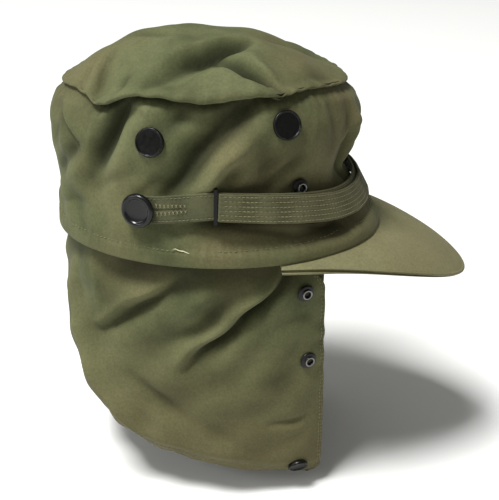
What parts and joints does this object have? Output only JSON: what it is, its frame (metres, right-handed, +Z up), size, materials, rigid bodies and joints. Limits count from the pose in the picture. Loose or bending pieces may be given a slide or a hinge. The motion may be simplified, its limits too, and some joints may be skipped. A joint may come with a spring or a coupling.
{
  "type": "cold weather combat cap",
  "caption": "Soft olive cap with a stiffened visor, buttoned straps worn over the visor, and an ear and neck flap that hangs from the hem and snaps up.",
  "frame": {"origin": "centre of the head opening, level with the hem of the crown", "axes": "+X to the visor, +Y to the wearer's left, +Z up through the crown"},
  "size_m": [0.2581, 0.1638, 0.2772],
  "materials": {
    "cap_cloth": "worn olive cotton and nylon poplin, matt, a fine plain weave, paler on its edges",
    "visor_cloth": "the same poplin over a stiffener, a little browner and faded on its edge",
    "strap_cloth": "folded olive poplin, row-stitched, matt",
    "button": "black moulded plastic, glossy, lightly scratched",
    "snap": "black-finished brass, satin, rubbed bright on its rims"
  },
  "bodies": {
    "root": {"crown_wall": "cap_cloth", "crown_top": "cap_cloth", "visor": "visor_cloth", "neck_flap": "cap_cloth", "strap_right": "strap_cloth", "button_right": "button", "strap_left": "strap_cloth", "button_left": "button", "strap_slide_right": "snap", "strap_slide_left": "snap", "crown_cap_rear_right": "snap", "crown_cap_rear_right_back": "snap", "crown_cap_front_right": "snap", "crown_cap_front_right_back": "snap", "crown_stud_right": "snap", "crown_stud_right_back": "snap", "flap_stud_upper_right": "snap", "flap_stud_upper_right_back": "snap", "flap_stud_middle_right": "snap", "flap_stud_middle_right_back": "snap", "flap_cap_lower_right": "snap", "flap_cap_lower_right_back": "snap", "crown_cap_rear_left": "snap", "crown_cap_rear_left_back": "snap", "crown_cap_front_left": "snap", "crown_cap_front_left_back": "snap", "crown_stud_left": "snap", "crown_stud_left_back": "snap", "flap_stud_upper_left": "snap", "flap_stud_upper_left_back": "snap", "flap_stud_middle_left": "snap", "flap_stud_middle_left_back": "snap", "flap_cap_lower_left": "snap", "flap_cap_lower_left_back": "snap"}
  },
  "joints": []
}
